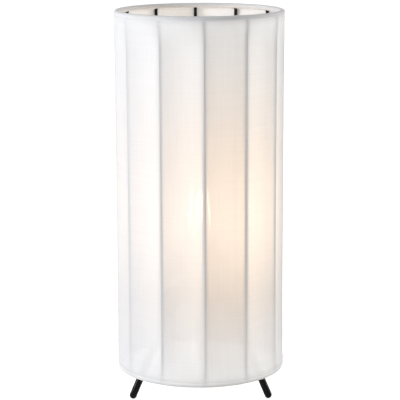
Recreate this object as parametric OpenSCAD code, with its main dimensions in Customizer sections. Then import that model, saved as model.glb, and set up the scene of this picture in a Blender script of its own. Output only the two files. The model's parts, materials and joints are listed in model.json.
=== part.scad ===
// Table lamp: a tall round fabric shade on three short splayed legs, with a screw-in bulb.
// Millimetres. The origin is on the lamp's axis at the surface it stands on, +Z is up
// and the front is -Y. Azimuths are counted from the front, towards +X.

/* [Shade] */
// Outer diameter of the shade's wrapped rims
shade_d = 175; // [150:1:220]
// Height of the shade from rim to rim
shade_h = 375; // [300:0.5:480]
// Gap from the surface up to the shade's lower rim
foot_gap = 25; // [20:0.5:45]
// Diameter of the wire in the top and bottom rings
ring_wire_d = 5; // [4:0.5:6]
// Diameter of the vertical rib wires
rib_wire_d = 3.2; // [3.2:0.1:4]
// Thickness of the cloth wrapped round the rings
hem_t = 0.6; // [0.4:0.1:1.2]
// Thickness of the sleeve's cloth with its backing
cloth_t = 0.6; // [0.4:0.1:1.2]
// How far a cloth panel draws in between two ribs
panel_draw = 1; // [0.4:0.1:3]
// How far the shade is turned on its holder, from its ribs in line with the legs
shade_turn = 2.85; // [-10:0.05:10]

/* [Legs] */
// Diameter of a leg rod
leg_d = 7.6; // [5:0.1:9]
// How far a foot's centre stands in from the shade's outer rim
foot_inset = 6.5; // [4.6:0.1:14]
// Radius of the circle on which the legs meet the hub plate
leg_top_r = 32.5; // [28:0.5:42]
// Height of the flat worn on each rounded foot
foot_flat = 0.3; // [0.1:0.05:0.6]

/* [Hub] */
// Height of the hub plate's top above the shade's lower rim
hub_lift = 76; // [60:0.5:90]
// Thickness of the hub plate
hub_t = 3; // [2:0.5:5]
// Rim of the hub plate outside the leg sockets
hub_edge = 2.5; // [1:0.5:8]
// Wall of a leg socket
socket_wall = 3; // [2.5:0.5:4]
// Length of a leg socket along its leg
socket_len = 20; // [14:1:26]
// Diameter of the grub screw in a leg socket
grub_d = 4; // [3:0.5:5]

/* [Cord inlet] */
// Outer diameter of the threaded nipple
nipple_d = 10; // [9.5:0.5:12]
// Bore of the threaded nipple
nipple_bore = 7.2; // [6.6:0.1:7.6]
// Length of nipple left bare under its nut
nipple_tail = 5; // [3:0.5:7]
// Width across the flats of the nipple's nut
nut_af = 14; // [14:0.5:17]
// Height of the nipple's nut
nut_h = 4; // [3:0.5:6]
// Diameter of the washer above the nut
washer_d = 18; // [17:0.5:24]
// Thickness of the washer
washer_t = 1; // [0.6:0.1:2]
// Bore of the cord bush, which a supply cord passes through
bush_bore = 5.8; // [4.6:0.1:5.8]
// Length of the cord bush inside the nipple
bush_len = 6; // [4:0.5:10]
// Thickness of the cord bush's flange
bush_flange_t = 1.5; // [1:0.1:3]

/* [Lamp holder] */
// Outer diameter of the holder's cap
cap_d = 40; // [39:0.5:46]
// Thickness of the floor of the holder's cap
cap_floor = 4; // [3:0.5:6]
// Wall of the holder's cap
cap_wall = 2; // [1.5:0.1:2.2]
// Depth of the wiring space under the insert
wiring_h = 8; // [7:0.5:12]
// Thickness of the insulating insert
insert_h = 10; // [9:0.5:14]
// Height of the cap's wall above the insert
cap_lap = 4; // [3:0.5:6]
// Outer diameter of the sleeve's threaded part
sleeve_d = 39; // [38:0.5:40]
// Wall of the sleeve's threaded part
sleeve_wall = 4; // [3:0.1:4.2]
// Height of the sleeve above its shoulder
sleeve_h = 29; // [26:0.5:34]
// Diameter of the shoulder that carries the fitter ring
shoulder_d = 48; // [45:0.5:54]
// Thickness of the shoulder
shoulder_t = 3; // [2:0.5:5]
// Height from the insert up to the bulb's lowest point
contact_h = 3; // [2.4:0.1:4]
// Height of the screw shell
shell_h = 28; // [24:0.5:30]

/* [Shade fitting] */
// Diameter of a spider arm
arm_d = 3; // [2.5:0.1:3.1]
// How far an arm drops from the fitter ring to its rib
arm_drop = 24; // [10:1:34]
// How far the fitter ring stands out past the holder's shoulder
fitter_lip = 1.5; // [1:0.5:4]
// Height of the fitter ring
fitter_h = 4; // [3.8:0.1:6]
// Diameter of the clamp ring
clamp_d = 54; // [50:0.5:60]
// Height of the clamp ring
clamp_h = 10; // [7:0.5:12]

/* [Bulb] */
// Diameter of the bulb's glass
bulb_d = 60; // [50:1:70]
// Length of the bulb from its contact to its crown
bulb_len = 105; // [100:1:118]
// Diameter over the bulb's screw thread
bulb_cap_d = 26.4; // [26:0.1:27]
// Height of the bulb's screw cap above its contact
bulb_cap_h = 27.5; // [26:0.5:30]
// Thickness of the bulb's glass
glass_t = 0.8; // [0.6:0.1:1.2]
// Pitch of the bulb's screw thread
thread_pitch = 3.63; // [3:0.01:4]
// Depth of the bulb's screw thread
thread_depth = 1; // [0.6:0.1:1.2]
// Length of a filament
filament_len = 38; // [30:1:40]
// Diameter of a filament
filament_d = 1.8; // [1.4:0.1:2.4]
// Height of the filaments' middle above the bulb's contact
filament_mid = 67.5; // [67:0.5:72]
// Radius at the filaments' upper ends
filament_top_r = 8; // [6:0.5:10]
// Radius at the filaments' lower ends
filament_low_r = 11.2; // [8:0.2:13]

/* [Hidden] */
rib_count = 12;
leg_count = 3;
filament_count = 4;

// Clearances: a screw in its thread, a push fit, a loose pass-through and a running thread
thread_clear = 0.02;
push_clear = 0.05;
pass_clear = 0.2;
bulb_clear = 0.1;
cloth_clear = 0.1;
touch_clear = 0.02;
insert_clear = 0.3;
board_clear = 1;

// Finish of round parts; hull children use the lower count
fine = 96;
mid = 48;
coarse = 32;

// How far a cutter runs past what it cuts, and the size of a block that cuts everything
over = 1;
far = 1000;

// Heights from the surface up
shade_z0 = foot_gap;
shade_z1 = foot_gap + shade_h;
hem_r = ring_wire_d / 2 + hem_t;
ring_r = shade_d / 2 - hem_r;
low_ring_z = shade_z0 + hem_r;
high_ring_z = shade_z1 - hem_r;
hub_top = foot_gap + hub_lift;
hub_under = hub_top - hub_t;
nut_top = hub_under - washer_t;
nipple_z0 = nut_top - nut_h - nipple_tail;
insert_z0 = hub_top + cap_floor + wiring_h;
insert_z1 = insert_z0 + insert_h;
shoulder_z0 = insert_z1 + cap_lap;
fitter_z0 = shoulder_z0 + shoulder_t;
fitter_mid = fitter_z0 + fitter_h / 2;
clamp_z0 = fitter_z0 + fitter_h;
sleeve_z1 = fitter_z0 + sleeve_h;
bulb_z0 = insert_z1 + contact_h;

// Shade frame
rib_r = rib_wire_d / 2;
rib_step = 360 / rib_count;
wrap_in = rib_r + cloth_clear;
sleeve_z0 = shade_z0 + 2 * hem_r;
sleeve_top = shade_z1 - 2 * hem_r;
panel_chord = 2 * ring_r * sin(rib_step / 2);
panel_slope = atan(4 * panel_draw / panel_chord);
panel_steps = 6;
wrap_turn = rib_step / 2 + panel_slope;
wrap_steps = 2;

// Legs: each runs straight from its foot to the hub plate's underside
leg_r = leg_d / 2;
leg_step = 360 / leg_count;
leg_phase = leg_step / 2;
foot_z = leg_r - foot_flat;
foot_r = shade_d / 2 - foot_inset;
leg_run = foot_r - leg_top_r;
leg_rise = hub_under - foot_z;
leg_tilt = atan(leg_run / leg_rise);
leg_len = sqrt(leg_run * leg_run + leg_rise * leg_rise);
socket_r = leg_r + push_clear + socket_wall;
hub_r = leg_top_r + socket_r / cos(leg_tilt) + hub_edge;
grub_up = socket_len / 2;
grub_proud = 1;
grub_key_af = grub_d / 2;
grub_key_depth = 2;

// Nipple, nut, washer and cord bush
nipple_r = nipple_d / 2;
nipple_head = 1;
nipple_z1 = hub_top + cap_floor + nipple_head;
bush_r = nipple_bore / 2 - push_clear;
bush_lip = 0.5;
bush_flange_r = nipple_r + bush_lip;

// Lamp holder
cap_r = cap_d / 2;
cap_in = cap_r - cap_wall;
insert_r = cap_in - insert_clear;
ledge_w = 2.2;
ledge_in = insert_r - ledge_w;
sleeve_r = sleeve_d / 2;
sleeve_in = sleeve_r - sleeve_wall;
skirt_r = cap_in - thread_clear;
shoulder_r = shoulder_d / 2;
shell_t = 0.4;
shell_in = bulb_cap_d / 2 + bulb_clear;
shell_out = shell_in + shell_t;
shell_floor_in = 8.4;
strip_t = 0.5;
strip_w = 6;
strip_len = 11;
pad_d = 6.4;
rivet_r = 1.2;
rivet_x = -4;
live_screw_x = -9;
neutral_screw_x = 4.5;
terminal_w = 7;
terminal_t = 0.8;
screw_r = 1.5;
screw_head_r = 3;
screw_head_h = 2.2;
screw_len = 6;
slot_w = 0.8;
slot_depth = 0.9;
shell_rivet_x = 11;

// Shade fitting
fitter_in = sleeve_r + pass_clear;
fitter_r = shoulder_r + fitter_lip;
arm_r = arm_d / 2;
arm_run = ring_r - fitter_r;
arm_tilt = atan(arm_drop / arm_run);
arm_len = sqrt(arm_run * arm_run + arm_drop * arm_drop);
clamp_r = clamp_d / 2;
flute_count = 24;
flute_r = 1.4;

// Bulb, in heights above its contact
cap_shell_t = 0.4;
bulb_cap_r = bulb_cap_d / 2;
pip_r = 4.8;
pip_draft = 0.6;
pip_h = 1.6;
insulator_z0 = 0.9;
insulator_z1 = 6;
insulator_edge = 1;
insulator_r = pip_r + insulator_edge;
cap_floor_z = 4;
cap_lip = 1.8;
cap_hole_r = bulb_cap_r - cap_lip;
glass_r = bulb_d / 2;
glass_mid = bulb_len - glass_r;
neck_gap = 0.4;
neck_lap = 3.5;
neck_rise = 1;
neck_r = bulb_cap_r - cap_shell_t - neck_gap;
neck_z0 = bulb_cap_h - neck_lap;
neck_z1 = bulb_cap_h + neck_rise;
thread_z0 = insulator_z1;
thread_turns = floor((neck_z0 - thread_z0) / thread_pitch);
thread_steps = 8;
tangent_a = 35;
flare_reach = 0.4;
flare_steps = 10;
globe_steps = 15;
stem_foot_r = neck_r - glass_t - push_clear;
stem_foot_h = 3;
stem_seat = 1;
stem_foot_z = neck_z0 + stem_seat;
stem_r = 4.4;
stem_bore_r = 3.2;
wire_r = 0.4;
wire_hole_r = wire_r + touch_clear;
wire_x = 2.4;
bead_r = 0.9;
filament_tilt = atan((filament_low_r - filament_top_r) / filament_len);
filament_phase = -16;
filament_step = 360 / filament_count;
filament_half = filament_len / 2 * cos(filament_tilt);
filament_low_z = filament_mid - filament_half;
filament_top_z = filament_mid + filament_half;
filament_end = filament_d / 2 * sin(filament_tilt) + touch_clear;
spoke_z = filament_low_z - filament_end - wire_r;
wire_bare = 3.5;
stem_top = spoke_z - wire_bare;
pinch_h = 3;
pillar_r = 1.3;
pillar_top = filament_top_z + filament_end;
board_t = 1.2;
board_w = 15;
board_z0 = insulator_z1;
board_z1 = stem_foot_z - board_clear;
capacitor_r = 3.2;
capacitor_h = 6;
chip_w = 3;
chip_h = 5;
chip_t = 2;
chip_lift = 3;
wire_z0 = board_z1 + touch_clear;

// Names of the repeated nodes
function two(i) = str(i < 10 ? "0" : "", i);
function rib_name(i) = str("rib_", two(i));
function numbered(name, i) = str(name, "_", i);
function named(name, count) = [for (i = [1:count]) numbered(name, i)];

// Azimuths of the ribs, of the legs and of the spider arms, which run to the ribs over the legs
function rib_a(i) = shade_turn + (i - 1) * rib_step;
function leg_a(i) = leg_phase + (i - 1) * leg_step;
function arm_a(i) = shade_turn + leg_a(i);
function filament_a(i) = filament_phase + (i - 1) * filament_step;

function reversed(list) = [for (k = [len(list) - 1:-1:0]) list[k]];

// Puts a piece drawn at the front, on the -Y side, at an azimuth
module at(azimuth) {
    rotate([0, 0, azimuth]) children();
}

// A straight tube or ring standing on z0
module tube(z0, z1, outer, inner) {
    translate([0, 0, z0]) difference() {
        cylinder(h = z1 - z0, r = outer, $fn = fine);
        translate([0, 0, -over]) cylinder(h = z1 - z0 + 2 * over, r = inner, $fn = fine);
    }
}

// A ring of round section
module torus(ring, section) {
    rotate_extrude($fn = fine) translate([ring, 0]) circle(r = section, $fn = mid);
}

// Everything above or below a height, for cutting
module above(z) {
    translate([-far / 2, -far / 2, z]) cube([far, far, far]);
}

module below(z) {
    translate([-far / 2, -far / 2, z - far]) cube([far, far, far]);
}

// Shade frame

module frame_ring(z) {
    translate([0, 0, z]) torus(ring_r, ring_wire_d / 2);
}

module top_ring() {
    color("dimgray") frame_ring(high_ring_z);
}

module bottom_ring() {
    color("dimgray") frame_ring(low_ring_z);
}

// A rib's wire, its ends coped to sit on both rings
module rib_rod(radius) {
    translate([0, -ring_r, low_ring_z]) cylinder(h = high_ring_z - low_ring_z, r = radius, $fn = mid);
}

module rib(i) {
    color("black") at(rib_a(i)) difference() {
        rib_rod(rib_r);
        frame_ring(high_ring_z);
        frame_ring(low_ring_z);
    }
}

// Cloth rolled round a ring, slit where each rib comes through
module hem(z) {
    translate([0, 0, z]) rotate_extrude($fn = fine) translate([ring_r, 0]) difference() {
        circle(r = hem_r, $fn = mid);
        circle(r = ring_wire_d / 2, $fn = mid);
    }
}

module slit_hem(z) {
    difference() {
        hem(z);
        for (i = [1:rib_count]) at(rib_a(i)) rib_rod(rib_r + touch_clear);
    }
}

module top_hem() {
    color("whitesmoke") slit_hem(high_ring_z);
}

module bottom_hem() {
    color("whitesmoke") slit_hem(low_ring_z);
}

// Outline of the cloth in plan: it wraps each rib at a radius, and draws in between ribs
function on_rib(azimuth, radius, turn) = [
    ring_r * sin(azimuth) + radius * sin(azimuth + turn),
    -ring_r * cos(azimuth) - radius * cos(azimuth + turn)
];
function panel_point(azimuth, radius, s) =
    let (a = on_rib(azimuth, radius, wrap_turn))
    let (b = on_rib(azimuth + rib_step, radius, -wrap_turn))
    let (out = azimuth + rib_step / 2, draw = 4 * panel_draw * s * (1 - s))
    [a[0] + (b[0] - a[0]) * s - draw * sin(out), a[1] + (b[1] - a[1]) * s + draw * cos(out)];
function cloth_outline(radius) = [
    for (i = [1:rib_count])
        each concat(
            [for (k = [-wrap_steps:wrap_steps]) on_rib(rib_a(i), radius, wrap_turn * k / wrap_steps)],
            [for (k = [1:panel_steps - 1]) panel_point(rib_a(i), radius, k / panel_steps)]
        )
];

module fabric_sleeve() {
    color("white") translate([0, 0, sleeve_z0]) linear_extrude(sleeve_top - sleeve_z0) difference() {
        polygon(cloth_outline(wrap_in + cloth_t));
        polygon(cloth_outline(wrap_in));
    }
}

// Shade fitting

module fitter_ring() {
    color("black") tube(fitter_z0, fitter_z0 + fitter_h, fitter_r, fitter_in);
}

// An arm from the fitter ring's edge down and out to its rib, coped at both ends
module spider_arm(i) {
    color("black") at(arm_a(i)) difference() {
        translate([0, -fitter_r, fitter_mid]) rotate([90 + arm_tilt, 0, 0])
            translate([0, 0, -arm_d]) cylinder(h = arm_len + arm_d, r = arm_r, $fn = mid);
        translate([0, 0, hub_top]) cylinder(h = shade_h, r = fitter_r, $fn = fine);
        rib_rod(rib_r);
    }
}

module clamp_ring() {
    color("black") difference() {
        tube(clamp_z0, clamp_z0 + clamp_h, clamp_r, sleeve_r + thread_clear);
        for (i = [1:flute_count]) at(i * 360 / flute_count)
            translate([0, -clamp_r, clamp_z0 - over])
            cylinder(h = clamp_h + 2 * over, r = flute_r, $fn = coarse);
    }
}

// Hub and legs

module hub_plate() {
    color("black") tube(hub_under, hub_top, hub_r, nipple_r + pass_clear);
}

// Draws along a leg's own axis, from the hub plate's underside (0) down to the foot
module on_leg() {
    translate([0, -leg_top_r, hub_under]) rotate([-leg_tilt, 0, 0]) mirror([0, 0, 1]) children();
}

module grub_hole(radius, from, to) {
    on_leg() translate([0, 0, grub_up]) rotate([90, 0, 0]) translate([0, 0, from])
        cylinder(h = to - from, r = radius, $fn = mid);
}

module leg_socket(i) {
    color("black") at(leg_a(i)) difference() {
        on_leg() translate([0, 0, -socket_len]) cylinder(h = 2 * socket_len, r = socket_r, $fn = mid);
        on_leg() translate([0, 0, -2 * socket_len])
            cylinder(h = 4 * socket_len, r = leg_r + push_clear, $fn = mid);
        grub_hole(grub_d / 2 + thread_clear, leg_r, socket_r + over);
        above(hub_under);
    }
}

module leg(i) {
    color("black") at(leg_a(i)) difference() {
        union() {
            on_leg() translate([0, 0, -leg_d]) cylinder(h = leg_len + leg_d, r = leg_r, $fn = mid);
            on_leg() translate([0, 0, leg_len]) sphere(r = leg_r, $fn = mid);
        }
        above(hub_under);
        below(0);
    }
}

// Hexagon-socket grub screws, one through each leg socket's outer wall
module grub_screw() {
    grub_len = socket_wall + push_clear + grub_proud;
    difference() {
        grub_hole(grub_d / 2, leg_r + touch_clear, leg_r + grub_len);
        on_leg() translate([0, 0, grub_up]) rotate([90, 0, 0])
            translate([0, 0, leg_r + grub_len - grub_key_depth])
            cylinder(h = grub_key_depth + over, r = grub_key_af / 2 / cos(30), $fn = 6);
    }
}

module grub_screws() {
    color("dimgray") for (i = [1:leg_count]) at(leg_a(i)) grub_screw();
}

// Cord inlet

module threaded_nipple() {
    color("silver") tube(nipple_z0, nipple_z1, nipple_r, nipple_bore / 2);
}

module nipple_washer() {
    color("silver") tube(nut_top, hub_under, washer_d / 2, nipple_r + pass_clear);
}

module nipple_nut() {
    color("silver") translate([0, 0, nut_top - nut_h]) difference() {
        cylinder(h = nut_h, r = nut_af / 2 / cos(30), $fn = 6);
        translate([0, 0, -over])
            cylinder(h = nut_h + 2 * over, r = nipple_r + thread_clear, $fn = fine);
    }
}

module cord_bush() {
    color("black") translate([0, 0, nipple_z0]) difference() {
        union() {
            cylinder(h = bush_len, r = bush_r, $fn = fine);
            translate([0, 0, -bush_flange_t]) cylinder(h = bush_flange_t, r = bush_flange_r, $fn = fine);
        }
        translate([0, 0, -bush_flange_t - over])
            cylinder(h = bush_len + bush_flange_t + 2 * over, r = bush_bore / 2, $fn = fine);
    }
}

// Lamp holder

module holder_cap() {
    color("black") difference() {
        tube(hub_top, shoulder_z0, cap_r, nipple_r + thread_clear);
        translate([0, 0, hub_top + cap_floor]) cylinder(h = far, r = ledge_in, $fn = fine);
        translate([0, 0, insert_z0]) cylinder(h = far, r = cap_in, $fn = fine);
    }
}

module holder_insert() {
    color("ivory") difference() {
        translate([0, 0, insert_z0]) cylinder(h = insert_h, r = insert_r, $fn = fine);
        for (x = [live_screw_x, neutral_screw_x]) translate([x, 0, insert_z0 - over])
            cylinder(h = screw_len - screw_head_h + over, r = screw_r + thread_clear, $fn = mid);
        for (x = [rivet_x, shell_rivet_x]) translate([x, 0, insert_z0 - over])
            cylinder(h = insert_h + 2 * over, r = rivet_r + touch_clear, $fn = mid);
    }
}

// The sleeve: a skirt that screws into the cap, a shoulder, and the threaded part above it
module holder_sleeve() {
    color("black") difference() {
        union() {
            translate([0, 0, insert_z1]) cylinder(h = cap_lap + shoulder_t, r = skirt_r, $fn = fine);
            translate([0, 0, shoulder_z0]) cylinder(h = shoulder_t, r = shoulder_r, $fn = fine);
            translate([0, 0, shoulder_z0]) cylinder(h = sleeve_z1 - shoulder_z0, r = sleeve_r, $fn = fine);
        }
        translate([0, 0, insert_z1 - over]) cylinder(h = far, r = sleeve_in, $fn = fine);
    }
}

// The screw shell: its floor is riveted to the insert through one tab
module screw_shell() {
    color("goldenrod") union() {
        difference() {
            translate([0, 0, insert_z1]) cylinder(h = shell_h, r = shell_out, $fn = fine);
            translate([0, 0, insert_z1 + shell_t]) cylinder(h = shell_h, r = shell_in, $fn = fine);
            translate([0, 0, insert_z1 - over]) cylinder(h = shell_h, r = shell_floor_in, $fn = fine);
        }
        translate([shell_rivet_x, 0, insert_z0]) cylinder(h = insert_h + shell_t, r = rivet_r, $fn = mid);
    }
}

// The centre contact: a strip with a raised pad under the bulb, and its rivet through the insert
module centre_contact() {
    color("goldenrod") union() {
        translate([rivet_x - strip_w / 2, -strip_w / 2, insert_z1]) cube([strip_len, strip_w, strip_t]);
        translate([0, 0, insert_z1]) cylinder(h = contact_h - touch_clear, d = pad_d, $fn = mid);
        translate([rivet_x, 0, insert_z0]) cylinder(h = insert_h + strip_t, r = rivet_r, $fn = mid);
    }
}

// A terminal plate under the insert, from its rivet to its screw
module terminal_plate(rivet, screw) {
    x0 = min(rivet, screw) - terminal_w / 2;
    x1 = max(rivet, screw) + terminal_w / 2;
    color("goldenrod") difference() {
        translate([x0, -terminal_w / 2, insert_z0 - terminal_t]) cube([x1 - x0, terminal_w, terminal_t]);
        translate([screw, 0, insert_z0 - terminal_t - over])
            cylinder(h = terminal_t + 2 * over, r = screw_r + pass_clear, $fn = mid);
    }
}

module live_terminal() {
    terminal_plate(rivet_x, live_screw_x);
}

module neutral_terminal() {
    terminal_plate(shell_rivet_x, neutral_screw_x);
}

module terminal_screw(x) {
    head_z = insert_z0 - terminal_t - screw_head_h;
    translate([x, 0, head_z]) difference() {
        union() {
            cylinder(h = screw_head_h, r = screw_head_r, $fn = mid);
            cylinder(h = screw_len, r = screw_r, $fn = mid);
        }
        translate([-screw_head_r - over, -slot_w / 2, -over])
            cube([2 * (screw_head_r + over), slot_w, slot_depth + over]);
    }
}

module terminal_screws() {
    color("silver") for (x = [live_screw_x, neutral_screw_x]) terminal_screw(x);
}

// Bulb, drawn with its contact at 0 and lifted into the holder

module in_bulb() {
    translate([0, 0, bulb_z0]) children();
}

module bulb_contact() {
    color("silver") in_bulb() cylinder(h = pip_h, r1 = pip_r - pip_draft, r2 = pip_r, $fn = mid);
}

module bulb_insulator() {
    color("black") in_bulb() difference() {
        union() {
            translate([0, 0, insulator_z0])
                cylinder(h = cap_floor_z - insulator_z0, r1 = insulator_r, r2 = cap_hole_r, $fn = fine);
            translate([0, 0, cap_floor_z])
                cylinder(h = insulator_z1 - cap_floor_z, r = cap_hole_r, $fn = fine);
        }
        translate([0, 0, -over]) cylinder(h = over + pip_h, r = pip_r + touch_clear, $fn = mid);
    }
}

// The cap is rolled sheet: its thread shows as rounded grooves outside and in
function thread_line(radius) = [
    for (k = [0:thread_turns * thread_steps])
        [radius - thread_depth * (1 - cos(360 * k / thread_steps)) / 2,
         thread_z0 + thread_pitch * k / thread_steps]
];

module bulb_cap() {
    outer = thread_line(bulb_cap_r);
    inner = reversed(thread_line(bulb_cap_r - cap_shell_t));
    floor_top = cap_floor_z + cap_shell_t;
    hole_r = cap_hole_r + touch_clear;
    foot = [[hole_r, cap_floor_z], [bulb_cap_r, cap_floor_z]];
    rim = [[bulb_cap_r, bulb_cap_h], [bulb_cap_r - cap_shell_t, bulb_cap_h]];
    fold = [[bulb_cap_r - cap_shell_t, floor_top], [hole_r, floor_top]];
    color("silver") in_bulb() rotate_extrude($fn = fine) polygon(concat(foot, outer, rim, inner, fold));
}

// Half outline of the glass, a wall's depth inside the outer one: neck, flare and globe
function bezier(a, b, c, d, s) =
    a * pow(1 - s, 3) + 3 * b * s * pow(1 - s, 2) + 3 * c * s * s * (1 - s) + d * pow(s, 3);
function globe(inset, a) = [(glass_r - inset) * cos(a), glass_mid + (glass_r - inset) * sin(a)];
function glass_outline(inset) =
    let (low = [neck_r - inset, neck_z1], high = globe(inset, -tangent_a))
    let (reach = (high[1] - low[1]) * flare_reach)
    let (pull_up = [low[0], low[1] + reach])
    let (pull_down = high - reach * [sin(tangent_a), cos(tangent_a)])
    concat(
        [for (k = [0:flare_steps - 1]) bezier(low, pull_up, pull_down, high, k / flare_steps)],
        [for (k = [0:globe_steps - 1]) globe(inset, -tangent_a + k * (90 + tangent_a) / globe_steps)],
        [[0, bulb_len - inset]]
    );

module bulb_glass() {
    outer = glass_outline(0);
    inner = reversed(glass_outline(glass_t));
    color("lightcyan", 0.4) in_bulb() rotate_extrude($fn = fine)
        polygon(concat([[neck_r, neck_z0]], outer, inner, [[neck_r - glass_t, neck_z0]]));
}

// The stem: a foot sealed in the neck, a tube, a pinch with two wire holes and a pillar
module bulb_stem() {
    color("lightcyan", 0.5) in_bulb() difference() {
        union() {
            translate([0, 0, stem_foot_z]) cylinder(h = stem_foot_h, r = stem_foot_r, $fn = mid);
            translate([0, 0, stem_foot_z]) cylinder(h = stem_top - stem_foot_z, r = stem_r, $fn = mid);
            translate([0, 0, stem_foot_z]) cylinder(h = pillar_top - stem_foot_z, r = pillar_r, $fn = mid);
        }
        translate([0, 0, stem_foot_z - over])
            cylinder(h = stem_top - pinch_h - stem_foot_z + over, r = stem_bore_r, $fn = mid);
        for (side = [-1, 1]) translate([side * wire_x, 0, stem_foot_z])
            cylinder(h = far, r = wire_hole_r, $fn = mid);
    }
}

module filament(i) {
    color("gold") in_bulb() at(filament_a(i)) translate([0, -filament_low_r, filament_low_z])
        rotate([-filament_tilt, 0, 0]) cylinder(h = filament_len, r = filament_d / 2, $fn = mid);
}

// Spokes from the pillar's top out over the filaments' upper ends
module filament_star() {
    color("silver") in_bulb() union() {
        for (i = [1:filament_count]) at(filament_a(i)) translate([0, 0, pillar_top + wire_r])
            rotate([90, 0, 0]) cylinder(h = filament_top_r + filament_d / 2, r = wire_r, $fn = mid);
        translate([0, 0, pillar_top]) cylinder(h = 2 * wire_r, r = pillar_r, $fn = mid);
    }
}

// A lead wire rises from the board through the pinch and forks to two filaments' lower ends
module lead_wire(i) {
    x = i == 1 ? -wire_x : wire_x;
    fork = i == 1 ? [1, filament_count] : [2, 3];
    color("silver") in_bulb() union() {
        translate([x, 0, wire_z0]) cylinder(h = spoke_z - wire_z0, r = wire_r, $fn = mid);
        translate([x, 0, spoke_z]) sphere(r = bead_r, $fn = mid);
        for (k = fork) lead_spoke([x, 0], filament_low_r * [sin(filament_a(k)), -cos(filament_a(k))]);
    }
}

module lead_spoke(from, to) {
    run = to - from;
    translate([from[0], from[1], spoke_z]) rotate([0, 0, atan2(run[1], run[0])]) rotate([0, 90, 0])
        cylinder(h = norm(run), r = wire_r, $fn = mid);
}

module driver_board() {
    color("seagreen") in_bulb() union() {
        translate([-board_w / 2, -board_t / 2, board_z0]) cube([board_w, board_t, board_z1 - board_z0]);
        translate([0, board_t / 2, (board_z0 + board_z1) / 2]) rotate([-90, 0, 0])
            cylinder(h = capacitor_h, r = capacitor_r, $fn = mid);
        for (x = [-board_w / 3, board_w / 3 - chip_w])
            translate([x, -board_t / 2 - chip_t, board_z0 + chip_lift]) cube([chip_w, chip_t, chip_h]);
    }
}

top_ring();
bottom_ring();
for (i = [1:rib_count]) rib(i);
fabric_sleeve();
top_hem();
bottom_hem();
fitter_ring();
for (i = [1:leg_count]) spider_arm(i);
clamp_ring();
hub_plate();
for (i = [1:leg_count]) leg_socket(i);
for (i = [1:leg_count]) leg(i);
grub_screws();
threaded_nipple();
nipple_washer();
nipple_nut();
cord_bush();
holder_cap();
holder_insert();
holder_sleeve();
screw_shell();
centre_contact();
live_terminal();
neutral_terminal();
terminal_screws();
bulb_contact();
bulb_insulator();
bulb_cap();
bulb_glass();
bulb_stem();
for (i = [1:filament_count]) filament(i);
filament_star();
for (i = [1:2]) lead_wire(i);
driver_board();
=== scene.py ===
import json
from math import asin, atan2, cos, pi, radians, sin

import bmesh
import bpy
import numpy as np
from mathutils import Matrix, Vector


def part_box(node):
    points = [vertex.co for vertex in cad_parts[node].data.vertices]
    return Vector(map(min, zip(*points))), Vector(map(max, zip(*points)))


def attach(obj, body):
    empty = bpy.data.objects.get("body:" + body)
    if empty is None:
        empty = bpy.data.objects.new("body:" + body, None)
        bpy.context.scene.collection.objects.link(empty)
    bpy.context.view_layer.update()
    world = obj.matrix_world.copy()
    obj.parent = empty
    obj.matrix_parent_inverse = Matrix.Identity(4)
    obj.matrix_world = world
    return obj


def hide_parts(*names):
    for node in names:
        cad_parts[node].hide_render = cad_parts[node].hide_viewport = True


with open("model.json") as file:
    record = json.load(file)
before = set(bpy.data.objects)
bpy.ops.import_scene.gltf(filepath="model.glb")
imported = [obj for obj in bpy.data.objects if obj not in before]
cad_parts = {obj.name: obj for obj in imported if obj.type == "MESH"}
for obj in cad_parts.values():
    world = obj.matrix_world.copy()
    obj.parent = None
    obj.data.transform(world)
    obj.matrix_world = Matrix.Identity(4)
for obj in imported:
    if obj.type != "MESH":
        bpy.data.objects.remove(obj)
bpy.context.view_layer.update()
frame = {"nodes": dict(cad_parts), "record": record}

# Tall round fabric table lamp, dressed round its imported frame. Metres, +Z up, the front is -Y.
# Azimuths are counted from the front towards +X, as the ribs and legs are numbered.

scene = bpy.context.scene
nodes = frame["nodes"]


def newObject(name, data):
    made = bpy.data.objects.new(name, data)
    scene.collection.objects.link(made)
    return made


# The camera stands where the photographer stood

cameraSet = {
    "lens": 148.8,          # millimetres on a 36 mm wide sensor
    "distance": 1.6861,     # metres from the lamp's axis, straight in front
    "height": 0.538,
    "tiltDown": 11.275,     # degrees
    "roll": -0.212,
}


def standCamera(values):
    data = bpy.data.cameras.new("photoCamera")
    data.sensor_width = 36
    data.lens = values["lens"]
    camera = newObject("photoCamera", data)
    camera.location = (0, -values["distance"], values["height"])
    tilt = Matrix.Rotation(radians(90 - values["tiltDown"]), 3, "X")
    camera.rotation_euler = (tilt @ Matrix.Rotation(radians(values["roll"]), 3, "Z")).to_euler()
    scene.camera = camera


standCamera(cameraSet)
print("camera stands")


# Sizes read off the frame

ringLow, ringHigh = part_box("bottom_ring")
wireRadius = (ringHigh.z - ringLow.z) / 2
ringRadius = ringHigh.x - wireRadius
lowRingZ = (ringHigh.z + ringLow.z) / 2
highRingZ = sum(corner.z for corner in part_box("top_ring")) / 2
hemRadius = (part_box("top_hem")[1].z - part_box("top_hem")[0].z) / 2
ribRadius = (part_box("rib_01")[1].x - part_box("rib_01")[0].x) / 2
ribCount = 12
legCount = 3
ribStep = 2 * pi / ribCount
shadeTurn = asin(sum(corner.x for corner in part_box("rib_01")) / 2 / ringRadius)
ribAngles = [shadeTurn + i * ribStep for i in range(ribCount)]
legAngles = [pi / 3 + i * 2 * pi / legCount for i in range(legCount)]
armAngles = [shadeTurn + azimuth for azimuth in legAngles]
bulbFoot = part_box("bulb_contact")[0].z


# Mesh making: every new piece is a grid of points worked out with numpy

meshSet = {
    "crease": 35,               # degrees; sharper edges stay sharp
    "softCrease": 60,
    "merge": 1e-7,              # points nearer than this become one
    "shortest": 1e-8,           # shorter edges are dissolved
    "poleStep": 1e-6,           # how far a rod's end point stands off its flat end
    "near": 1e-6,               # a point this near a wall's radius is on it
}


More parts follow.
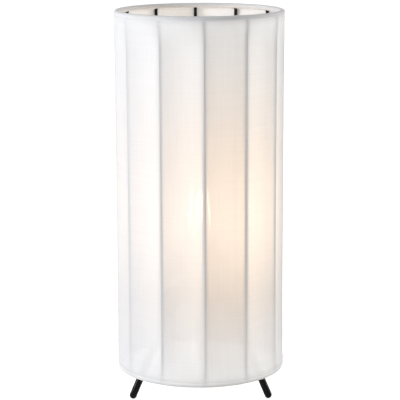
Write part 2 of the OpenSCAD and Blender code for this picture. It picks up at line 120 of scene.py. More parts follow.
# Faces of a grid whose last column joins its first; a looped one also joins its last row
def gridFaces(rows, columns, looped):
    down = np.arange(rows if looped else rows - 1)[:, None]
    across = np.arange(columns)[None, :]
    nextDown = (down + 1) % rows
    nextAcross = (across + 1) % columns
    corners = [down * columns + across, down * columns + nextAcross,
               nextDown * columns + nextAcross, nextDown * columns + across]
    return np.stack(np.broadcast_arrays(*corners), -1).reshape(-1, 4)


def pieceFromGrids(name, grids, crease=meshSet["crease"]):
    points, faces, start = [], [], 0
    for grid, looped in grids:
        rows, columns = grid.shape[:2]
        points.append(grid.reshape(-1, 3))
        faces.append(gridFaces(rows, columns, looped) + start)
        start += rows * columns
    mesh = bpy.data.meshes.new(name)
    mesh.from_pydata(np.concatenate(points), [], np.concatenate(faces).tolist())
    closeAndSmooth(mesh, crease, meshSet)
    return newObject(name, mesh)


# Merges the points that fall together at poles, then smooths all but the sharp edges
def closeAndSmooth(mesh, crease, values):
    work = bmesh.new()
    work.from_mesh(mesh)
    bmesh.ops.remove_doubles(work, verts=work.verts, dist=values["merge"])
    bmesh.ops.dissolve_degenerate(work, edges=work.edges, dist=values["shortest"])
    work.to_mesh(mesh)
    work.free()
    mesh.shade_smooth()
    mesh.set_sharp_from_angle(angle=radians(crease))


def aroundAxis(radius, azimuth, height):
    return np.stack([radius * np.sin(azimuth), -radius * np.cos(azimuth), height], -1)


# A profile of (radius, height) turned about the Z axis. Where a row has a thread depth, the
# radius falls by depth * (1 - cos(2 pi height / pitch - angle)) / 2, a right-handed helix.
def turnedGrid(profile, steps, threadDepth=None, pitch=1.0, scallops=0, scallopDepth=None):
    profile = np.asarray(profile, float)
    angle = np.arange(steps) * 2 * pi / steps
    radius = np.repeat(profile[:, :1], steps, 1)
    height = np.repeat(profile[:, 1:], steps, 1)
    if threadDepth is not None:
        phase = 2 * pi * height / pitch - angle
        radius = radius - np.asarray(threadDepth)[:, None] * (1 - np.cos(phase)) / 2
    if scallopDepth is not None:
        dent = np.clip(np.cos(scallops * angle), 0, 1) ** 2
        radius = radius - np.asarray(scallopDepth)[:, None] * dent
    return aroundAxis(radius, angle, height)


def turnedPiece(name, profile, steps=96, looped=True, **cut):
    return pieceFromGrids(name, [(turnedGrid(profile, steps, **cut), looped)])


# Rises smoothly from 0 to 1 between two values: 3 s^2 - 2 s^3
def easeBetween(value, low, high):
    share = np.clip((np.asarray(value, float) - low) / (high - low), 0, 1)
    return share * share * (3 - 2 * share)


# Rises from 0 to 1 between the first two values, and falls back to 0 between the last two
def riseAndFall(value, riseLow, riseHigh, fallLow, fallHigh):
    return easeBetween(value, riseLow, riseHigh) * (1 - easeBetween(value, fallLow, fallHigh))


# A round section carried along a path: centre + radius * (cos(a) * across + sin(a) * up)
def sweptGrid(path, radii, sides):
    path = np.asarray(path, float)
    along = np.gradient(path, axis=0)
    along /= np.linalg.norm(along, axis=1)[:, None]
    steepest = 0.9
    guide = np.array([0.0, 0, 1]) if abs(along[:, 2]).max() < steepest else np.array([1.0, 0, 0])
    across = np.cross(guide, along)
    across /= np.linalg.norm(across, axis=1)[:, None]
    up = np.cross(along, across)
    angle = np.arange(sides) * 2 * pi / sides
    ring = np.cos(angle)[None, :, None] * across[:, None] + np.sin(angle)[None, :, None] * up[:, None]
    return path[:, None] + np.asarray(radii, float)[:, None, None] * ring


# A straight rod whose ends are rounded: the radius follows a quarter circle over the end's length
def rodGrid(start, end, radius, roundStart, roundEnd, sides, middle=2, endRows=9):
    start, end = np.asarray(start, float), np.asarray(end, float)
    length = np.linalg.norm(end - start)
    turn = np.linspace(0, pi / 2, endRows)
    places = np.concatenate([roundStart * (1 - np.cos(turn)),
                             np.linspace(roundStart, length - roundEnd, middle + 2)[1:-1],
                             (length - roundEnd * (1 - np.cos(turn)))[::-1]])
    shares = np.concatenate([np.sin(turn), np.ones(middle), np.sin(turn)[::-1]])
    path = start + (end - start) / length * places[:, None]
    return sweptGrid(path, radius * shares, sides)


# Corners of a profile replaced by short arcs; each corner is (radius, height, rounding)
def roundedProfile(corners, arcSteps=5):
    corners = np.asarray(corners, float)
    count = len(corners)
    points = []
    for i in range(count):
        here, rounding = corners[i, :2], corners[i, 2]
        if rounding == 0:
            points.append(here)
            continue
        back = corners[i - 1, :2] - here
        ahead = corners[(i + 1) % count, :2] - here
        back /= np.linalg.norm(back)
        ahead /= np.linalg.norm(ahead)
        for share in np.linspace(0, 1, arcSteps):
            points.append(here + rounding * (back * (1 - share) ** 2 + ahead * share ** 2))
    return np.array(points)


def onWall(profile, radius):
    return abs(profile[:, 0] - radius) < meshSet["near"]


# Shader helpers

def feed(tree, socket, source):
    if isinstance(source, bpy.types.NodeSocket):
        tree.links.new(source, socket)
    else:
        socket.default_value = source


def setInputs(tree, node, **sources):
    for label, source in sources.items():
        feed(tree, node.inputs[label.replace("_", " ")], source)


def calc(tree, operation, *sources):
    made = tree.nodes.new("ShaderNodeMath")
    made.operation = operation
    for socket, source in zip(made.inputs, sources):
        feed(tree, socket, source)
    return made.outputs[0]


def times(tree, first, second):
    return calc(tree, "MULTIPLY", first, second)


def splitPlace(tree, place):
    made = tree.nodes.new("ShaderNodeSeparateXYZ")
    feed(tree, made.inputs[0], place)
    return made.outputs


def mixColour(tree, share, first, second, way="MIX"):
    made = tree.nodes.new("ShaderNodeMix")
    made.data_type = "RGBA"
    made.blend_type = way
    feed(tree, made.inputs[0], share)
    feed(tree, made.inputs[6], first)
    feed(tree, made.inputs[7], second)
    return made.outputs[2]


# A colour times a level
def dimmed(tree, colour, level):
    return mixColour(tree, 1.0, colour, level, "MULTIPLY")


def ramp(tree, value, low, high, out0=0.0, out1=1.0, smooth=True):
    made = tree.nodes.new("ShaderNodeMapRange")
    made.interpolation_type = "SMOOTHSTEP" if smooth else "LINEAR"
    for socket, source in zip(made.inputs, (value, low, high, out0, out1)):
        feed(tree, socket, source)
    return made.outputs[0]


def noise(tree, place, scale, detail=2.0, roughness=0.5):
    made = tree.nodes.new("ShaderNodeTexNoise")
    setInputs(tree, made, Vector=place, Scale=scale, Detail=detail, Roughness=roughness)
    return made.outputs["Fac"]


def objectPlace(tree):
    return tree.nodes.new("ShaderNodeTexCoord").outputs["Object"]


def stretched(tree, place, scale):
    made = tree.nodes.new("ShaderNodeMapping")
    setInputs(tree, made, Vector=place, Scale=scale)
    return made.outputs["Vector"]


def newGroup(name, takes, gives):
    group = bpy.data.node_groups.new(name, "ShaderNodeTree")
    for label, kind, value in takes:
        socket = group.interface.new_socket(label, in_out="INPUT", socket_type="NodeSocket" + kind)
        if value is not None:
            socket.default_value = value
    for label, kind in gives:
        group.interface.new_socket(label, in_out="OUTPUT", socket_type="NodeSocket" + kind)
    given = group.nodes.new("NodeGroupInput").outputs
    wanted = group.nodes.new("NodeGroupOutput").inputs
    return group, given, wanted


def placeGroup(tree, group, **values):
    made = tree.nodes.new("ShaderNodeGroup")
    made.node_tree = group
    setInputs(tree, made, **values)
    return made.outputs


def newMaterial(name, **values):
    material = bpy.data.materials.new(name)
    material.use_nodes = True
    tree = material.node_tree
    shader = tree.nodes["Principled BSDF"]
    setInputs(tree, shader, **values)
    return material, tree, shader


# Two colours, mixed by a mask, as the base colour
def paintBase(tree, shader, mask, first, second):
    setInputs(tree, shader, Base_Color=mixColour(tree, mask, (*first, 1), (*second, 1)))


def bump(tree, shader, height, distance):
    made = tree.nodes.new("ShaderNodeBump")
    setInputs(tree, made, Strength=1.0, Distance=distance, Height=height)
    setInputs(tree, shader, Normal=made.outputs["Normal"])


# Plain weave: warp and weft are rows of round threads, each over and under the other in turn,
# with slubs where a thread runs thick. Its tone is painted shade, darker between the threads'
# crowns, and it also differs at random along the slubs.

weaveSet = {
    "warpSlub": (900, 14, 1),   # noise scale across and along the cloth
    "weftSlub": (10, 800, 1),
    "slubDetail": 3.0,
    # depth of the painted shade between the threads' crowns
    "crownShadeDepth": 0.35,
}


def makeWeave(values):
    group, given, wanted = newGroup(
        "plainWeave",
        [("Place", "Vector", None), ("Pitch", "Float", 0.0005), ("Slub", "Float", 0.5)],
        [("Height", "Float"), ("Tone", "Float")])
    way = splitPlace(group, given["Place"])
    counts = [calc(group, "DIVIDE", way[i], given["Pitch"]) for i in range(2)]
    crown = [calc(group, "ABSOLUTE", calc(group, "SINE", times(group, count, pi))) for count in counts]
    crossed = calc(group, "ADD", *[calc(group, "FLOOR", count) for count in counts])
    parity = calc(group, "PINGPONG", crossed, 1.0)
    over = times(group, parity, crown[0])
    under = times(group, calc(group, "SUBTRACT", 1.0, parity), crown[1])
    threads = calc(group, "ADD", over, under)
    slubs = [noise(group, stretched(group, given["Place"], values[label]), 1.0, values["slubDetail"])
             for label in ("warpSlub", "weftSlub")]
    slub = calc(group, "SUBTRACT", calc(group, "ADD", *slubs), 1.0)
    slub = times(group, slub, given["Slub"])
    feed(group, wanted["Height"], calc(group, "ADD", threads, slub))
    # Tone: painted shade between the threads' crowns, plus the random slubs
    feed(group, wanted["Tone"], calc(group, "MULTIPLY_ADD", threads, values["crownShadeDepth"], slub))
    return group


# Painted light: the cloth's emission stands in for the light that comes through it from inside.
# A rib's painted shadow keeps it off as far as it reaches: the share that passes is
# gap^n / (gap^n + reach^n), with a sharper edge level with the filaments. The room's light is
# strongest near both open ends. The bulb's is a warm bell over the height, e^-(rise / spread)^2,
# with a whiter core. Both are painted weaker at the sides, as |cos|^narrowing of the azimuth.

lampGlowSet = {
    "glowZ": 0.195,             # height of the filaments' middle
    "room": (0.95, 1.0, 1.02),
    "roomLevel": 0.086,
    "roomTop": 0.137,           # added towards the upper rim
    "roomFoot": 0.120,          # added towards the lower rim
    "topReach": (0.21, 0.37),   # heights over which they rise
    "footReach": (0.13, 0.04),
    "bulb": (0.315, 0.176, 0.056),
    "spreadUp": 0.142,
    "spreadDown": 0.116,
    "turnOver": 0.001,          # half the height over which one spread passes into the other
    "core": 0.098,
    "coreSpread": 0.062,
    "roomSide": 0.20,           # share of each light that is left at the dim sides
    "bulbSide": 0.20,
    "narrowing": 2.0,
    "brightAzimuth": 25,        # degrees from the front
    "ribLeak": 0.19,            # share that is left on a rib, and what the lower rim adds
    "footLeak": 0.35,
    "ribReach": 0.0021,
    "ribSoft": 2.4,             # n far from the filaments, and what is added level with them
    "ribSharp": 4.0,
}


def makeLampGlow(values):
    group, given, wanted = newGroup(
        "lampGlow", [("RibGap", "Float", 0.02), ("Share", "Float", 1.0)], [("Glow", "Color")])
    x, y, height = splitPlace(group, objectPlace(group))
    rise = calc(group, "SUBTRACT", height, values["glowZ"])

    def bell(spread):
        away = calc(group, "DIVIDE", rise, spread)
        return calc(group, "EXPONENT", times(group, times(group, away, away), -1.0))

    core = bell(values["coreSpread"])
    turnOver = values["turnOver"]
    warm = bell(ramp(group, rise, -turnOver, turnOver, values["spreadDown"], values["spreadUp"]))
    # painted shadow of the nearest rib, lighter towards the foot by the leak
    sharpness = calc(group, "MULTIPLY_ADD", core, values["ribSharp"], values["ribSoft"])
    gap = calc(group, "POWER", calc(group, "DIVIDE", given["RibGap"], values["ribReach"]), sharpness)
    clear = calc(group, "DIVIDE", gap, calc(group, "ADD", gap, 1.0))
    toFoot = ramp(group, height, *values["footReach"])
    leak = calc(group, "MULTIPLY_ADD", toFoot, values["footLeak"], values["ribLeak"])
    clear = calc(group, "MULTIPLY_ADD", leak, calc(group, "SUBTRACT", 1.0, clear), clear)
    clear = times(group, clear, given["Share"])
    # painted shade: the glow is weaker towards the dim sides
    azimuth = calc(group, "ARCTAN2", x, times(group, y, -1.0))
    azimuth = calc(group, "SUBTRACT", azimuth, radians(values["brightAzimuth"]))
    side = calc(group, "POWER", calc(group, "ABSOLUTE", calc(group, "COSINE", azimuth)), values["narrowing"])
    roomShare = calc(group, "MULTIPLY_ADD", side, 1 - values["roomSide"], values["roomSide"])
    bulbShare = calc(group, "MULTIPLY_ADD", side, 1 - values["bulbSide"], values["bulbSide"])
    toTop = ramp(group, height, *values["topReach"])
    room = calc(group, "MULTIPLY_ADD", toTop, values["roomTop"], values["roomLevel"])
    room = calc(group, "MULTIPLY_ADD", toFoot, values["roomFoot"], room)
    roomLight = dimmed(group, (*values["room"], 1), times(group, room, roomShare))
    bulbLight = dimmed(group, (*values["bulb"], 1), warm)
    bulbLight = mixColour(group, 1.0, bulbLight, times(group, core, values["core"]), "ADD")
    both = mixColour(group, 1.0, roomLight, dimmed(group, bulbLight, bulbShare), "ADD")
    feed(group, wanted["Glow"], dimmed(group, both, clear))
    return group


# Marks of making and handling: a fine grain, and a few soft patches

handlingSet = {
    "grainDetail": 4.0,
    "grainRoughness": 0.6,
    "patchDetail": 3.0,
    "patchRoughness": 0.55,
    "patchRange": (0.35, 0.7),  # noise at which a patch begins and is full
}


def makeHandling(values):
    group, given, wanted = newGroup(
        "handlingMarks",
        [("Grain", "Float", 900.0), ("Patch", "Float", 40.0)],
        [("Grain", "Float"), ("Patch", "Float")])
    place = objectPlace(group)
    grain = noise(group, place, given["Grain"], values["grainDetail"], values["grainRoughness"])
    patch = noise(group, place, given["Patch"], values["patchDetail"], values["patchRoughness"])
    feed(group, wanted["Grain"], grain)
    feed(group, wanted["Patch"], ramp(group, patch, *values["patchRange"]))
    return group


# Fine rings left by turning or drawing a part about the lamp's axis
def makeTurning():
    group, given, wanted = newGroup("turningLines", [("Spacing", "Float", 0.0004)], [("Lines", "Float")])
    x, y, height = splitPlace(group, objectPlace(group))
    flat = group.nodes.new("ShaderNodeCombineXYZ")
    feed(group, flat.inputs[0], x)
    feed(group, flat.inputs[1], y)
    length = group.nodes.new("ShaderNodeVectorMath")
    length.operation = "LENGTH"
    feed(group, length.inputs[0], flat.outputs[0])
    place = calc(group, "ADD", length.outputs["Value"], height)
    place = calc(group, "DIVIDE", place, given["Spacing"])
    lines = group.nodes.new("ShaderNodeTexNoise")
    lines.noise_dimensions = "1D"
    feed(group, lines.inputs["W"], place)
    lines.inputs["Detail"].default_value = 2.0
    feed(group, wanted["Lines"], lines.outputs["Fac"])
    return group


weaveGroup = makeWeave(weaveSet)
glowGroup = makeLampGlow(lampGlowSet)
marksGroup = makeHandling(handlingSet)
turningGroup = makeTurning()


# Materials, one function for each family of finishes

clothSet = {
    "colour": (0.86, 0.86, 0.865),
    # colour at low weave tone: partly painted shade between the threads' crowns, partly low slubs
    "thread": (0.80, 0.795, 0.79),
    "pitch": 0.00045,
    "bump": 0.00006,
    "alpha": 0.8,               # with both faces, 4 % of what is inside shows through
    "slub": 0.8,
    # the low end gives the painted shade between threads, the high end the cloth's own colour
    "toneRange": (-0.3, 0.7),   # weave tones that give the thread's shade and the cloth's colour
    "glowTone": (0.96, 1.03),   # share of the glow at those two tones
    "insideLevel": 1.1,         # glow of the inner face against the outer one
}

hemClothSet = {
    "colour": (0.79, 0.79, 0.795),
    "thread": (0.735, 0.73, 0.725),
    "pitch": 0.0005,
    "alpha": 1.0,
}


def clothFinish(name, values):
    material, tree, shader = newMaterial(name, Roughness=0.85, Sheen_Weight=0.15, Sheen_Roughness=0.5,
                                         Emission_Strength=1.0)
    place = tree.nodes.new("ShaderNodeUVMap")
    place.uv_map = "cloth"
    weave = placeGroup(tree, weaveGroup, Place=place.outputs[0], Pitch=values["pitch"], Slub=values["slub"])
    tone = ramp(tree, weave["Tone"], *values["toneRange"])
    paintBase(tree, shader, tone, values["thread"], values["colour"])
    bump(tree, shader, weave["Height"], values["bump"])
    marks = {}
    for label in ("ribGap", "glowShare", "inside"):
        made = tree.nodes.new("ShaderNodeAttribute")
        made.attribute_name = label
        marks[label] = made.outputs["Fac"]
    # Painted light: the emission is the glow through the cloth, with the ribs' painted shadows in it
    glow = placeGroup(tree, glowGroup, RibGap=marks["ribGap"], Share=marks["glowShare"])["Glow"]
    level = ramp(tree, marks["inside"], 0.0, 1.0, 1.0, values["insideLevel"])
    woven = ramp(tree, weave["Tone"], *values["toneRange"], *values["glowTone"])
    glow = dimmed(tree, glow, times(tree, level, woven))
    setInputs(tree, shader, Emission_Color=glow, Alpha=values["alpha"])
    return material


def handMarks(tree, values):
    return placeGroup(tree, marksGroup, Grain=values["grain"], Patch=values["patch"])


# Lacquer and moulded stuff. Where the mask is full the colour is colour * gain + lift, and a patch
# has the roughness roughness * dullGain + dull.

lacquerSet = {
    "grain": 1400.0,
    "patch": 60.0,
    "bump": 0.000004,
    "mask": "Patch",
    "gain": 1.9,
    "lift": 0.001,
    "dullGain": 1.35,
    "dull": 0.0,
}

mouldedSet = {
    "grain": 700.0,
    "patch": 80.0,
    "bump": 0.00002,
    "mask": "Grain",
    "gain": 1.25,
    "lift": 0.002,
    "dullGain": 1.0,
    "dull": 0.12,
}


def coatFinish(name, colour, roughness, family, gloss=0.5, **changes):
    values = {**family, **changes}
    material, tree, shader = newMaterial(name, Specular_IOR_Level=gloss)
    marks = handMarks(tree, values)
    second = tuple(channel * values["gain"] + values["lift"] for channel in colour)
    paintBase(tree, shader, marks[values["mask"]], colour, second)
    dull = roughness * values["dullGain"] + values["dull"]
    setInputs(tree, shader, Roughness=ramp(tree, marks["Patch"], 0, 1, roughness, dull))
    bump(tree, shader, marks["Grain"], values["bump"])
    return material


metalSet = {
    "grain": 1600.0,
    "patch": 110.0,
    "spacing": 0.0004,          # of the turning lines
    "bump": 0.000004,
    "grainDepth": 0.5,          # depth of the grain against the lines
    "tarnish": 0.75,            # brightness of a patch
    "patchRoughness": 0.12,     # what a patch and a line add
    "lineRoughness": 0.08,
}


def metalFinish(name, colour, roughness, **changes):
    values = {**metalSet, **changes}
    material, tree, shader = newMaterial(name, Metallic=1.0)
    marks = handMarks(tree, values)
    lines = placeGroup(tree, turningGroup, Spacing=values["spacing"])["Lines"]
    paintBase(tree, shader, marks["Patch"], colour, [channel * values["tarnish"] for channel in colour])
    rough = calc(tree, "MULTIPLY_ADD", marks["Patch"], values["patchRoughness"], roughness)
    rough = calc(tree, "MULTIPLY_ADD", lines, values["lineRoughness"], rough)
    setInputs(tree, shader, Roughness=rough)
    relief = calc(tree, "MULTIPLY_ADD", marks["Grain"], values["grainDepth"], lines)
    bump(tree, shader, relief, values["bump"])
    return material


# Clear glass that lets the lamp's light and the room's light straight through

clearSet = {"grain": 300.0, "patch": 30.0, "smoke": 0.97, "ior": 1.47}


def glassFinish(name, tint, roughness, values):
    material, tree, shader = newMaterial(name, Transmission_Weight=1.0, IOR=values["ior"],
                                         Roughness=roughness)
    smoked = [channel * values["smoke"] for channel in tint]
    paintBase(tree, shader, handMarks(tree, values)["Patch"], tint, smoked)
    path = tree.nodes.new("ShaderNodeLightPath")
    through = calc(tree, "MAXIMUM", path.outputs["Is Shadow Ray"], path.outputs["Is Diffuse Ray"])
    clear = tree.nodes.new("ShaderNodeBsdfTransparent")
    both = tree.nodes.new("ShaderNodeMixShader")
    for socket, source in zip(both.inputs, (through, shader.outputs[0], clear.outputs[0])):
        feed(tree, socket, source)
    setInputs(tree, tree.nodes["Material Output"], Surface=both.outputs[0])
    return material


# A row of small lit chips under a phosphor coat, brighter over each chip; the bare tabs at the
# two ends stay dark

filamentSet = {
    "glow": (1.0, 0.93, 0.85),
    "strength": 7.5,
    "chipPitch": 0.0013,
    "gapLevel": 0.85,           # brightness between two chips
    "tabEnds": (0.0018, 0.0022),    # from an end: to where the tab is bare, and where all is lit
    "coat": (0.9, 0.62, 0.2),
    "tab": (0.55, 0.54, 0.52),
}


def filamentFinish(name, values):
    material, tree, shader = newMaterial(name, Roughness=0.6, Emission_Strength=values["strength"])
    height = splitPlace(tree, objectPlace(tree))[2]
    wave = calc(tree, "SINE", times(tree, height, 2 * pi / values["chipPitch"]))
    low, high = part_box("filament_1")
    bare, begun = values["tabEnds"]
    lit = times(tree, ramp(tree, height, low.z + bare, low.z + begun),
                ramp(tree, height, high.z - begun, high.z - bare, 1.0, 0.0))
    chips = times(tree, ramp(tree, wave, -1.0, 1.0, values["gapLevel"], 1.0), lit)
    setInputs(tree, shader, Emission_Color=dimmed(tree, (*values["glow"], 1), chips))
    paintBase(tree, shader, lit, values["tab"], values["coat"])
    return material


boardSet = {
    "scale": 260,
    "greens": ((0.03, 0.16, 0.08, 1), (0.04, 0.22, 0.1, 1)),
    "tracks": (0.35, 0.3, 0.12, 1),
    "trackHeight": 0.00003,
    "grain": 900.0,
    "patch": 120.0,
    "roughness": (0.35, 0.55),
}


def boardFinish(name, values):
    material, tree, shader = newMaterial(name, Coat_Weight=0.3)
    tracks = tree.nodes.new("ShaderNodeTexBrick")
    place = stretched(tree, objectPlace(tree), (values["scale"],) * 3)
    first, second = values["greens"]
    setInputs(tree, tracks, Vector=place, Scale=1.0, Color1=first, Color2=second, Mortar=values["tracks"])
    rough = ramp(tree, handMarks(tree, values)["Patch"], 0, 1, *values["roughness"])
    setInputs(tree, shader, Base_Color=tracks.outputs["Color"], Roughness=rough)
    bump(tree, shader, tracks.outputs["Fac"], values["trackHeight"])
    return material


finishes = {
    "cloth_white": clothFinish("shadeCloth", clothSet),
    "hem_white": clothFinish("hemCloth", {**clothSet, **hemClothSet}),
    "frame_black": coatFinish("frameBlack", (0.006, 0.006, 0.006), 0.35, lacquerSet, 0.15),
    "gloss_black": coatFinish("glossBlack", (0.001, 0.001, 0.001), 0.12, lacquerSet, 0.1),
    "screw_steel": metalFinish("blackScrewSteel", (0.16, 0.16, 0.17), 0.35),
    "zinc_steel": metalFinish("zincPlate", (0.62, 0.63, 0.62), 0.3, tarnish=0.85),
    "nylon_black": coatFinish("nylonBlack", (0.02, 0.02, 0.02), 0.5, mouldedSet),
    "phenolic_black": coatFinish("phenolicBlack", (0.018, 0.016, 0.015), 0.28, mouldedSet,
                                 grain=500.0, bump=0.00001),
    "ceramic_ivory": coatFinish("steatiteIvory", (0.8, 0.76, 0.68), 0.6, mouldedSet,
                                grain=1200.0, bump=0.00003, gain=1.08),
    "brass": metalFinish("rolledBrass", (0.75, 0.55, 0.24), 0.28),
    "solder_grey": metalFinish("solderGrey", (0.52, 0.52, 0.53), 0.42, bump=0.00001),
    "insulator_black": coatFinish("insulatorBlack", (0.012, 0.012, 0.013), 0.12, mouldedSet,
                                  grain=300.0, bump=0.00001),
    "cap_nickel": metalFinish("satinNickel", (0.70, 0.68, 0.65), 0.3),
    "bulb_glass": glassFinish("bulbGlass", (0.98, 0.985, 0.985), 0.0, clearSet),
    "stem_glass": glassFinish("stemGlass", (0.95, 0.965, 0.96), 0.03, clearSet),
    "filament_glow": filamentFinish("filamentPhosphor", filamentSet),
    "wire_nickel": metalFinish("drawnNickelWire", (0.6, 0.59, 0.56), 0.3, spacing=0.0002),
    "board_green": boardFinish("circuitBoard", boardSet),
}

slotOfNode = {part["node"]: part["material_slot"] for part in frame["record"]["subparts"]}
for name, slotName in slotOfNode.items():
    if not nodes[name].material_slots:
        nodes[name].data.materials.append(finishes[slotName])
    for materialSlot in nodes[name].material_slots:
        materialSlot.material = finishes[slotName]
print("finishes made:", len(finishes))


# Dresses a finished piece: its material, its body, the nodes that it stands for and their slot
def fit(piece, body, *replaced):
    slotName = slotOfNode[replaced[0]]
    piece.data.materials.clear()
    piece.data.materials.append(finishes[slotName])
    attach(piece, body)
    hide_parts(*replaced)
    return piece


# The shade's cloth. In plan its distance from the axis is the smaller of the arc that wraps a
# rib and the chord between two ribs, the chord drawn in by 4 * draw * s * (1 - s). Towards each
# rim the plan turns into a circle, over the blend length.

sleeveSet = {
    "flat": (0.543, 0.367),     # cut size: round the ribs, and from hem to hem
    "thickness": 0.0005,
    "draw": 0.0010,
    "blend": 0.030,
    "flare": 0.0011,            # how far the cloth spreads towards a rim, as e^-(distance / fade)
    "flareStart": 0.0025,
    "flareFade": 0.035,
    "rimStep": 0.0004,          # how far inside its wrap round the ribs the cloth is at a rim
    "tuck": 0.0019,             # how far past a ring's middle height the cloth runs under its hem
    "columns": 16,              # in each panel
    "rows": 120,
    "pucker": 0.00012,
    "puckerWaves": 60,
    "puckerFade": 0.012,
    # painted shadow where each spider arm ends, taken off the glow
    "armShade": 0.35,           # share of the glow that is lost where a spider arm ends
    "armSpot": (0.004, 0.005),  # half the spot's width and height
    "armLift": 0.0016,
    # painted shade on the glow, right at each rim
    "rimShade": 0.4,            # share of the glow that is lost right at a rim
    "rimEdge": 0.001,
    "rimFade": 0.003,
}


# Share of the way from one rib to the next, for angles counted from a rib
def ribShare(angle):
    return (angle % ribStep) / ribStep


def planDistance(angle, wrap, draw):
    share = ribShare(angle)
    near = np.minimum(share, 1 - share) * ribStep
    inside = np.clip(wrap ** 2 - (ringRadius * np.sin(near)) ** 2, 0, None)
    arc = np.where(inside > 0, ringRadius * np.cos(near) + np.sqrt(inside), 1.0)
    chord = (ringRadius * cos(ribStep / 2) + wrap) / np.cos((share - 0.5) * ribStep)
    chord = chord - 4 * draw * share * (1 - share)
    return np.minimum(arc, chord)


# Distance along the ring from the nearest rib
def gapToRib(angle):
    share = ribShare(angle)
    return np.minimum(share, 1 - share) * ribStep * ringRadius


def clothGrid(values, inset):
    count = values["columns"]
    shares = (1 - np.cos(pi * np.arange(count) / count)) / 2
    angle = (np.arange(ribCount)[:, None] + shares).ravel() * ribStep
    bottom = lowRingZ + values["tuck"]
    top = highRingZ - values["tuck"]
    height = np.linspace(bottom, top, values["rows"])
    toRim = np.minimum(height - bottom, top - height)
    flatness = easeBetween(toRim, 0, values["blend"])[:, None]
    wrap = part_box("fabric_sleeve")[1].y - ringRadius * cos(shadeTurn) - inset
    panel = planDistance(angle, wrap, values["draw"])[None, :]
    rimRadius = ringRadius + wrap - values["rimStep"]
    pucker = np.sin(angle * values["puckerWaves"]) * np.sin(pi * ribShare(angle)) * values["pucker"]
    puckerLeft = np.exp(-(toRim / values["puckerFade"]) ** 2) * (toRim > 0)
    flareRise = easeBetween(toRim, 0, values["flareStart"])
    flare = values["flare"] * flareRise * np.exp(-toRim / values["flareFade"])
    radius = rimRadius + (panel - rimRadius) * flatness + flare[:, None]
    radius = radius + pucker[None, :] * puckerLeft[:, None]
    height = np.repeat(height[:, None], len(angle), 1)
    grid = aroundAxis(radius, angle + shadeTurn, height)
    return grid, angle, np.repeat(toRim[:, None], len(angle), 1)


# A piece of cloth, with the marks that its finish reads: the gap to the nearest rib, the share of
# the glow, and whether a face is an inner one
def clothPiece(name, grid, **marks):
    piece = pieceFromGrids(name, [(grid, True)], meshSet["softCrease"])
    for label, data in marks.items():
        layer = piece.data.attributes.new(label, "FLOAT", "POINT")
        layer.data.foreach_set("value", np.asarray(data, np.float32).ravel())
    layClothUv(piece, grid)
    return piece


def makeSleeve(values):
    outer, angle, toRim = clothGrid(values, 0)
    inner = clothGrid(values, values["thickness"])[0]
    rimEdge = values["rimEdge"]
    # The glow's share: painted shade at each rim, and a painted shadow where each spider arm ends
    share = 1 - values["rimShade"] * (1 - easeBetween(toRim, rimEdge, rimEdge + values["rimFade"]))
    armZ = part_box("spider_arm_1")[0].z + values["armLift"]
    spotWide, spotHigh = values["armSpot"]
    for azimuth in armAngles:
        away = (angle + shadeTurn - azimuth + pi) % (2 * pi) - pi
        spot = (away[None, :] * ringRadius / spotWide) ** 2 + ((outer[..., 2] - armZ) / spotHigh) ** 2
        share = share * (1 - values["armShade"] * np.exp(-spot))
    gap = np.repeat(gapToRib(angle)[None, :], len(share), 0)
    return clothPiece("shadeSleeve", np.concatenate([outer, inner[::-1]]), ribGap=np.concatenate([gap, gap]),
                      glowShare=np.concatenate([share, share[::-1]]),
                      inside=np.concatenate([0 * gap, 0 * gap + 1]))


# UV in metres: the way round along each row, and the way along the first column. The last row and
# column close on the first one turn further on, so the UV is written corner by corner.
def layClothUv(piece, grid):
    rows, columns = grid.shape[:2]
    faces = gridFaces(rows, columns, True)
    column = faces % columns
    row = faces // columns
    turn = 2 * pi * ringRadius / columns
    column = np.where((column == 0) & (column.max(1, keepdims=True) == columns - 1), columns, column)
    across = column * turn
    up = np.linalg.norm(np.diff(grid[:, 0], axis=0, append=grid[:1, 0]), axis=1)
    reach = np.concatenate([[0], np.cumsum(up)])
    row = np.where((row == 0) & (row.max(1, keepdims=True) == rows - 1), rows, row)
    layer = piece.data.uv_layers.new(name="cloth")
    layer.data.foreach_set("uv", np.stack([across, reach[row]], -1).astype(np.float32).ravel())


sleeve = fit(makeSleeve(sleeveSet), "base", "fabric_sleeve")
print("sleeve made")


# The hems: cloth rolled round a ring. The section's radius swells and thins a little along the
# ring, and the roll ends in a low ridge where the tape's edge is stuck down. Painted light: on the
# side towards the sleeve the roll glows, for the light from inside that comes through past the wire.

hemSet = {
    "columns": 720,
    "sides": 40,
    "inset": 0.00012,
    "swell": 0.00007,
    "waves": ((17, 1.0, 0.0), (29, 0.7, 1.3), (53, 0.5, 0.4)),  # count, size and shift of each
    "bias": (90, 3, 0.25),      # slanting folds: count along the ring, turns and size
    "ridge": 0.00012,
    "ridgeWidth": 0.16,
    "topRidge": 325,            # degrees round the section, from its outside
    "bottomRidge": 35,
    # painted light on the hem, on its side towards the sleeve
    "topGlow": (0.1, 1.2),      # heights towards the sleeve, in radii, where the light begins and is full
    "bottomGlow": (-0.8, 0.7),
}


